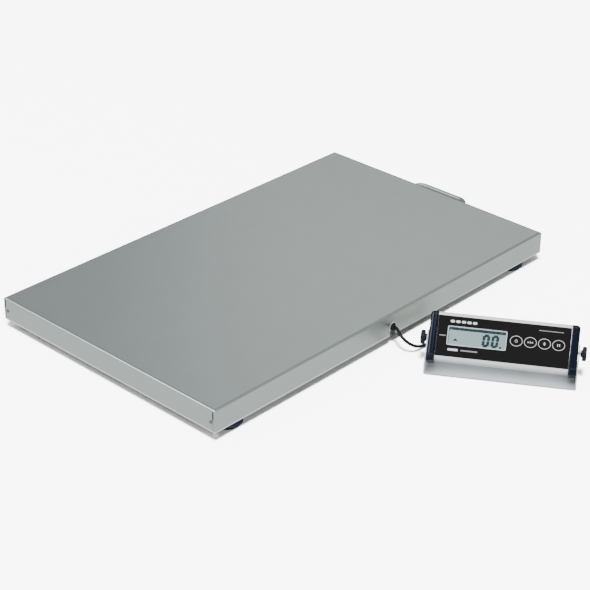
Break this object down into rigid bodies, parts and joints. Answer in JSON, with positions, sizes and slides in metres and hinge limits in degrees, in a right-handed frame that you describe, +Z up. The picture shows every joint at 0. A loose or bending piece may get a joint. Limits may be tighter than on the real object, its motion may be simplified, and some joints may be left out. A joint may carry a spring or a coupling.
{
  "type": "animal weighing scale",
  "caption": "Low floor platform scale for animals: folded steel pan on levelling feet with a carry handle, and a tilting display unit in a U-bracket joined to it by a cable",
  "frame": {"origin": "Middle of the object's box, without its free cable, on the floor that it stands on", "axes": "+Z is up. X runs along the platform's long sides, with the carry handle at the +X end. The cable leaves the -Y long side, and the display unit stands in front of it."},
  "size_m": [0.9378, 0.8848, 0.0956],
  "materials": {
    "pan_stainless": "satin, brushed along the length",
    "fastener_steel": "zinc plated",
    "handle_steel": "satin",
    "bracket_steel": "satin",
    "frame_paint": "powder coated",
    "load_cell_aluminium": "machined",
    "housing_aluminium": "anodised, satin",
    "cap_navy": "glossy",
    "foot_rubber": "moulded",
    "grommet_rubber": "moulded",
    "cable_jacket": "soft vinyl, slight sheen",
    "tie_plastic": "moulded",
    "overlay_black": "fine matt film",
    "key_black": "fine matt film",
    "lens_clear": "clear",
    "display_grey": "pale reflective display",
    "board_green": "circuit board",
    "battery_sleeve": "shrink sleeve",
    "junction_grey": "moulded"
  },
  "bodies": {
    "platform": {"platform_pan": "pan_stainless", "corner_screw_1": "fastener_steel", "corner_screw_2": "fastener_steel", "corner_screw_3": "fastener_steel", "corner_screw_4": "fastener_steel", "frame_rail_front": "frame_paint", "frame_rail_back": "frame_paint", "frame_cross_left": "frame_paint", "frame_cross_right": "frame_paint", "frame_centre_plate": "frame_paint", "load_cell_1": "load_cell_aluminium", "load_cell_2": "load_cell_aluminium", "load_cell_3": "load_cell_aluminium", "load_cell_4": "load_cell_aluminium", "lock_nut_1": "fastener_steel", "lock_nut_2": "fastener_steel", "lock_nut_3": "fastener_steel", "lock_nut_4": "fastener_steel", "junction_box": "junction_grey", "junction_box_lid": "junction_grey", "summing_board": "board_green", "cable_inner": "cable_jacket", "cable_grommet": "grommet_rubber", "carry_handle": "handle_steel", "handle_nut_1": "fastener_steel", "handle_nut_2": "fastener_steel", "cable_run": "cable_jacket", "cable_coil": "cable_jacket", "cable_tie": "tie_plastic", "cable_tail": "cable_jacket", "stand_bracket": "bracket_steel", "stand_pad_left": "foot_rubber", "stand_pad_right": "foot_rubber"},
    "indicator": {"housing": "housing_aluminium", "end_cap_left": "cap_navy", "end_cap_right": "cap_navy", "front_overlay": "overlay_black", "display_lens": "lens_clear", "display_module": "display_grey", "main_board": "board_green", "battery_pack": "battery_sleeve", "cable_gland": "tie_plastic"},
    "washer_left": {"clamp_washer_left": "fastener_steel"},
    "knob_left": {"clamp_knob_left": "cap_navy"},
    "washer_right": {"clamp_washer_right": "fastener_steel"},
    "knob_right": {"clamp_knob_right": "cap_navy"},
    "button_1": {"key_1": "key_black"},
    "button_2": {"key_2": "key_black"},
    "button_3": {"key_3": "key_black"},
    "button_4": {"key_4": "key_black"},
    "foot_1": {"foot_pad_1": "foot_rubber"},
    "stud_1": {"foot_stud_1": "fastener_steel"},
    "foot_2": {"foot_pad_2": "foot_rubber"},
    "stud_2": {"foot_stud_2": "fastener_steel"},
    "foot_3": {"foot_pad_3": "foot_rubber"},
    "stud_3": {"foot_stud_3": "fastener_steel"},
    "foot_4": {"foot_pad_4": "foot_rubber"},
    "stud_4": {"foot_stud_4": "fastener_steel"}
  },
  "joints": [
    {"name": "indicator_tilt", "type": "hinge", "parent": "platform", "child": "indicator", "pos_m": [0.0484, -0.30457, 0.049], "axis": [-0.5314, 0.8471, 0], "range_deg": [-40, 40]},
    {"name": "knob_left_travel", "type": "slide", "parent": "indicator", "child": "washer_left", "axis": [-0.5314, 0.8471, 0], "range_m": [0, 0.0015]},
    {"name": "knob_left_turn", "type": "hinge", "parent": "washer_left", "child": "knob_left", "pos_m": [0.0484, -0.30457, 0.049], "axis": [-0.5314, 0.8471, 0], "range_deg": [0, 540]},
    {"name": "knob_right_travel", "type": "slide", "parent": "indicator", "child": "washer_right", "axis": [0.5314, -0.8471, 0], "range_m": [0, 0.0015]},
    {"name": "knob_right_turn", "type": "hinge", "parent": "washer_right", "child": "knob_right", "pos_m": [0.0484, -0.30457, 0.049], "axis": [0.5314, -0.8471, 0], "range_deg": [0, 540]},
    {"name": "key_1_press", "type": "slide", "parent": "indicator", "child": "button_1", "axis": [0.6489, 0.4071, -0.6428], "range_m": [0, 0.0006], "stiffness_N_per_m": 2500, "springref_m": -0.0002},
    {"name": "key_2_press", "type": "slide", "parent": "indicator", "child": "button_2", "axis": [0.6489, 0.4071, -0.6428], "range_m": [0, 0.0006], "stiffness_N_per_m": 2500, "springref_m": -0.0002},
    {"name": "key_3_press", "type": "slide", "parent": "indicator", "child": "button_3", "axis": [0.6489, 0.4071, -0.6428], "range_m": [0, 0.0006], "stiffness_N_per_m": 2500, "springref_m": -0.0002},
    {"name": "key_4_press", "type": "slide", "parent": "indicator", "child": "button_4", "axis": [0.6489, 0.4071, -0.6428], "range_m": [0, 0.0006], "stiffness_N_per_m": 2500, "springref_m": -0.0002},
    {"name": "foot_1_height", "type": "slide", "parent": "platform", "child": "foot_1", "axis": [0, 0, -1], "range_m": [-0.003, 0.006]},
    {"name": "foot_1_turn", "type": "hinge", "parent": "foot_1", "child": "stud_1", "pos_m": [-0.4081, -0.07257, 0.02], "axis": [0, 0, -1], "range_deg": [-720, 1440]},
    {"name": "foot_2_height", "type": "slide", "parent": "platform", "child": "foot_2", "axis": [0, 0, -1], "range_m": [-0.003, 0.006]},
    {"name": "foot_2_turn", "type": "hinge", "parent": "foot_2", "child": "stud_2", "pos_m": [-0.4081, 0.40743, 0.02], "axis": [0, 0, -1], "range_deg": [-720, 1440]},
    {"name": "foot_3_height", "type": "slide", "parent": "platform", "child": "foot_3", "axis": [0, 0, -1], "range_m": [-0.003, 0.006]},
    {"name": "foot_3_turn", "type": "hinge", "parent": "foot_3", "child": "stud_3", "pos_m": [0.3719, -0.07257, 0.02], "axis": [0, 0, -1], "range_deg": [-720, 1440]},
    {"name": "foot_4_height", "type": "slide", "parent": "platform", "child": "foot_4", "axis": [0, 0, -1], "range_m": [-0.003, 0.006]},
    {"name": "foot_4_turn", "type": "hinge", "parent": "foot_4", "child": "stud_4", "pos_m": [0.3719, 0.40743, 0.02], "axis": [0, 0, -1], "range_deg": [-720, 1440]}
  ],
  "couplings": [
    {"joint": "knob_left_turn", "follows": "knob_left_travel", "rad_per_m": 6283.2},
    {"joint": "knob_right_turn", "follows": "knob_right_travel", "rad_per_m": 6283.2},
    {"joint": "foot_1_turn", "follows": "foot_1_height", "rad_per_m": 4188.8},
    {"joint": "foot_2_turn", "follows": "foot_2_height", "rad_per_m": 4188.8},
    {"joint": "foot_3_turn", "follows": "foot_3_height", "rad_per_m": 4188.8},
    {"joint": "foot_4_turn", "follows": "foot_4_height", "rad_per_m": 4188.8}
  ]
}
